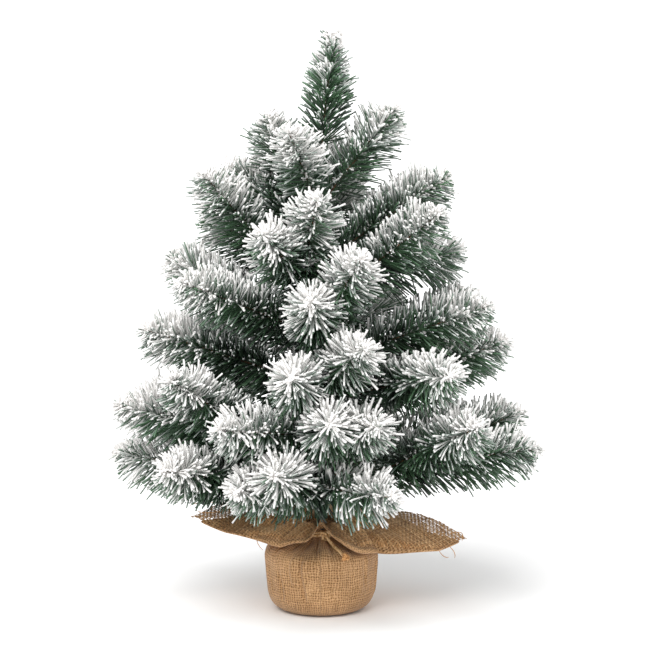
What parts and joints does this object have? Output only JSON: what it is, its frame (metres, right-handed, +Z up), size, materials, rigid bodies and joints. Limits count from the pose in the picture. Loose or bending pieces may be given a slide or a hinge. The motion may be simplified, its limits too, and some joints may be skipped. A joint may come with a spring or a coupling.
{
  "type": "artificial tabletop tree",
  "caption": "Flocked artificial tabletop tree: bendable wire branches with soft needles on a bound pole, weighted in a pot wrapped in burlap and tied with twine.",
  "frame": {"origin": "centre of the pot's underside, on the surface that the tree stands on", "axes": "+Z up along the trunk, -Y towards the front with the knot of twine, +X to the right"},
  "size_m": [0.4392, 0.373, 0.5993],
  "materials": {
    "pot_plastic": "matte",
    "cement": "matte",
    "burlap": "matte",
    "pole_steel": "satin",
    "wire_steel": "satin",
    "tape": "satin",
    "jute": "matte",
    "flocked_needles": "matte"
  },
  "bodies": {
    "trunk": {"pot_shell": "pot_plastic", "cement_fill": "cement", "burlap_wrap": "burlap", "trunk_pole": "pole_steel", "wire_tails": "wire_steel", "binding_tape": "tape", "twine_wrap": "jute", "twine_knot": "jute", "twine_tail": "jute", "twine_end_knot": "jute"},
    "branch_01": {"branch_01_wire": "wire_steel", "branch_01_needles": "flocked_needles"},
    "branch_02": {"branch_02_wire": "wire_steel", "branch_02_needles": "flocked_needles"},
    "branch_03": {"branch_03_wire": "wire_steel", "branch_03_needles": "flocked_needles"},
    "branch_04": {"branch_04_wire": "wire_steel", "branch_04_needles": "flocked_needles"},
    "branch_05": {"branch_05_wire": "wire_steel", "branch_05_needles": "flocked_needles"},
    "branch_06": {"branch_06_wire": "wire_steel", "branch_06_needles": "flocked_needles"},
    "branch_07": {"branch_07_wire": "wire_steel", "branch_07_needles": "flocked_needles"},
    "branch_08": {"branch_08_wire": "wire_steel", "branch_08_needles": "flocked_needles"},
    "branch_09": {"branch_09_wire": "wire_steel", "branch_09_needles": "flocked_needles"},
    "branch_10": {"branch_10_wire": "wire_steel", "branch_10_needles": "flocked_needles"},
    "branch_11": {"branch_11_wire": "wire_steel", "branch_11_needles": "flocked_needles"},
    "branch_12": {"branch_12_wire": "wire_steel", "branch_12_needles": "flocked_needles"},
    "branch_13": {"branch_13_wire": "wire_steel", "branch_13_needles": "flocked_needles"},
    "branch_14": {"branch_14_wire": "wire_steel", "branch_14_needles": "flocked_needles"},
    "branch_15": {"branch_15_wire": "wire_steel", "branch_15_needles": "flocked_needles"},
    "branch_16": {"branch_16_wire": "wire_steel", "branch_16_needles": "flocked_needles"},
    "branch_17": {"branch_17_wire": "wire_steel", "branch_17_needles": "flocked_needles"},
    "branch_18": {"branch_18_wire": "wire_steel", "branch_18_needles": "flocked_needles"},
    "branch_19": {"branch_19_wire": "wire_steel", "branch_19_needles": "flocked_needles"},
    "branch_20": {"branch_20_wire": "wire_steel", "branch_20_needles": "flocked_needles"},
    "branch_21": {"branch_21_wire": "wire_steel", "branch_21_needles": "flocked_needles"},
    "branch_22": {"branch_22_wire": "wire_steel", "branch_22_needles": "flocked_needles"},
    "branch_23": {"branch_23_wire": "wire_steel", "branch_23_needles": "flocked_needles"},
    "branch_24": {"branch_24_wire": "wire_steel", "branch_24_needles": "flocked_needles"},
    "leader": {"leader_wire": "wire_steel", "leader_needles": "flocked_needles"}
  },
  "joints": [
    {"name": "branch_01_bend", "type": "hinge", "parent": "trunk", "child": "branch_01", "pos_m": [-0.00228, -0.0085, 0.128], "axis": [-0.9659, 0.2588, 0], "range_deg": [-12, 22], "deforming": ["branch_01_needles"]},
    {"name": "branch_02_bend", "type": "hinge", "parent": "trunk", "child": "branch_02", "pos_m": [0.00875, -0.00092, 0.142], "axis": [-0.1045, -0.9945, 0], "range_deg": [-10, 36], "deforming": ["branch_02_needles"]},
    {"name": "branch_03_bend", "type": "hinge", "parent": "trunk", "child": "branch_03", "pos_m": [-0.00877, 0.00077, 0.125], "axis": [0.0872, 0.9962, 0], "range_deg": [-13, 22], "deforming": ["branch_03_needles"]},
    {"name": "branch_04_bend", "type": "hinge", "parent": "trunk", "child": "branch_04", "pos_m": [0.0033, 0.00816, 0.123], "axis": [0.9272, -0.3746, 0], "range_deg": [-12, 27], "deforming": ["branch_04_needles"]},
    {"name": "branch_05_bend", "type": "hinge", "parent": "trunk", "child": "branch_05", "pos_m": [0.00046, -0.00879, 0.178], "axis": [-0.9986, -0.0523, 0], "range_deg": [-15, 25], "deforming": ["branch_05_needles"]},
    {"name": "branch_06_bend", "type": "hinge", "parent": "trunk", "child": "branch_06", "pos_m": [-0.00867, -0.00153, 0.172], "axis": [-0.1736, 0.9848, 0], "range_deg": [-20, 39], "deforming": ["branch_06_needles"]},
    {"name": "branch_07_bend", "type": "hinge", "parent": "trunk", "child": "branch_07", "pos_m": [0.0088, -0.00015, 0.216], "axis": [-0.0175, -0.9998, 0], "range_deg": [-20, 23], "deforming": ["branch_07_needles"]},
    {"name": "branch_08_bend", "type": "hinge", "parent": "trunk", "child": "branch_08", "pos_m": [0.00077, 0.00877, 0.18], "axis": [0.9962, -0.0872, 0], "range_deg": [-20, 36], "deforming": ["branch_08_needles"]},
    {"name": "branch_09_bend", "type": "hinge", "parent": "trunk", "child": "branch_09", "pos_m": [-0.00153, -0.00867, 0.227], "axis": [-0.9848, 0.1736, 0], "range_deg": [-20, 45], "deforming": ["branch_09_needles"]},
    {"name": "branch_10_bend", "type": "hinge", "parent": "trunk", "child": "branch_10", "pos_m": [-0.0085, -0.00228, 0.239], "axis": [-0.2588, 0.9659, 0], "range_deg": [-20, 30], "deforming": ["branch_10_needles"]},
    {"name": "branch_11_bend", "type": "hinge", "parent": "trunk", "child": "branch_11", "pos_m": [0.00864, -0.00168, 0.262], "axis": [-0.1908, -0.9816, 0], "range_deg": [-20, 39], "deforming": ["branch_11_needles"]},
    {"name": "branch_12_bend", "type": "hinge", "parent": "trunk", "child": "branch_12", "pos_m": [-0.00153, 0.00867, 0.238], "axis": [0.9848, 0.1736, 0], "range_deg": [-20, 30], "deforming": ["branch_12_needles"]},
    {"name": "branch_13_bend", "type": "hinge", "parent": "trunk", "child": "branch_13", "pos_m": [-0.00061, -0.00878, 0.284], "axis": [-0.9976, 0.0698, 0], "range_deg": [-20, 50], "deforming": ["branch_13_needles"]},
    {"name": "branch_14_bend", "type": "hinge", "parent": "trunk", "child": "branch_14", "pos_m": [-0.00762, -0.0044, 0.292], "axis": [-0.5, 0.866, 0], "range_deg": [-20, 38], "deforming": ["branch_14_needles"]},
    {"name": "branch_15_bend", "type": "hinge", "parent": "trunk", "child": "branch_15", "pos_m": [0.00798, -0.00372, 0.328], "axis": [-0.4226, -0.9063, 0], "range_deg": [-20, 40], "deforming": ["branch_15_needles"]},
    {"name": "branch_16_bend", "type": "hinge", "parent": "trunk", "child": "branch_16", "pos_m": [0.00301, 0.00827, 0.302], "axis": [0.9397, -0.342, 0], "range_deg": [-20, 40], "deforming": ["branch_16_needles"]},
    {"name": "branch_17_bend", "type": "hinge", "parent": "trunk", "child": "branch_17", "pos_m": [-0.00386, -0.00791, 0.332], "axis": [-0.8988, 0.4384, 0], "range_deg": [-20, 40], "deforming": ["branch_17_needles"]},
    {"name": "branch_18_bend", "type": "hinge", "parent": "trunk", "child": "branch_18", "pos_m": [-0.00827, 0.00301, 0.342], "axis": [0.342, 0.9397, 0], "range_deg": [-20, 30], "deforming": ["branch_18_needles"]},
    {"name": "branch_19_bend", "type": "hinge", "parent": "trunk", "child": "branch_19", "pos_m": [0.00878, -0.00061, 0.372], "axis": [-0.0698, -0.9976, 0], "range_deg": [-20, 40], "deforming": ["branch_19_needles"]},
    {"name": "branch_20_bend", "type": "hinge", "parent": "trunk", "child": "branch_20", "pos_m": [-0.00372, 0.00798, 0.362], "axis": [0.9063, 0.4226, 0], "range_deg": [-20, 40], "deforming": ["branch_20_needles"]},
    {"name": "branch_21_bend", "type": "hinge", "parent": "trunk", "child": "branch_21", "pos_m": [-0.00798, 0.00372, 0.388], "axis": [0.4226, 0.9063, 0], "range_deg": [-20, 20], "deforming": ["branch_21_needles"]},
    {"name": "branch_22_bend", "type": "hinge", "parent": "trunk", "child": "branch_22", "pos_m": [-0.0044, -0.00762, 0.428], "axis": [-0.866, 0.5, 0], "range_deg": [-20, 20], "deforming": ["branch_22_needles"]},
    {"name": "branch_23_bend", "type": "hinge", "parent": "trunk", "child": "branch_23", "pos_m": [0.00873, 0.00107, 0.438], "axis": [0.1219, -0.9925, 0], "range_deg": [-20, 20], "deforming": ["branch_23_needles"]},
    {"name": "branch_24_bend", "type": "hinge", "parent": "trunk", "child": "branch_24", "pos_m": [0.0044, 0.00762, 0.422], "axis": [0.866, -0.5, 0], "range_deg": [-20, 30], "deforming": ["branch_24_needles"]},
    {"name": "leader_bend", "type": "hinge", "parent": "trunk", "child": "leader", "pos_m": [0, 0, 0.4798], "axis": [0, 1, 0], "range_deg": [-40, 40], "deforming": ["leader_needles"]}
  ]
}
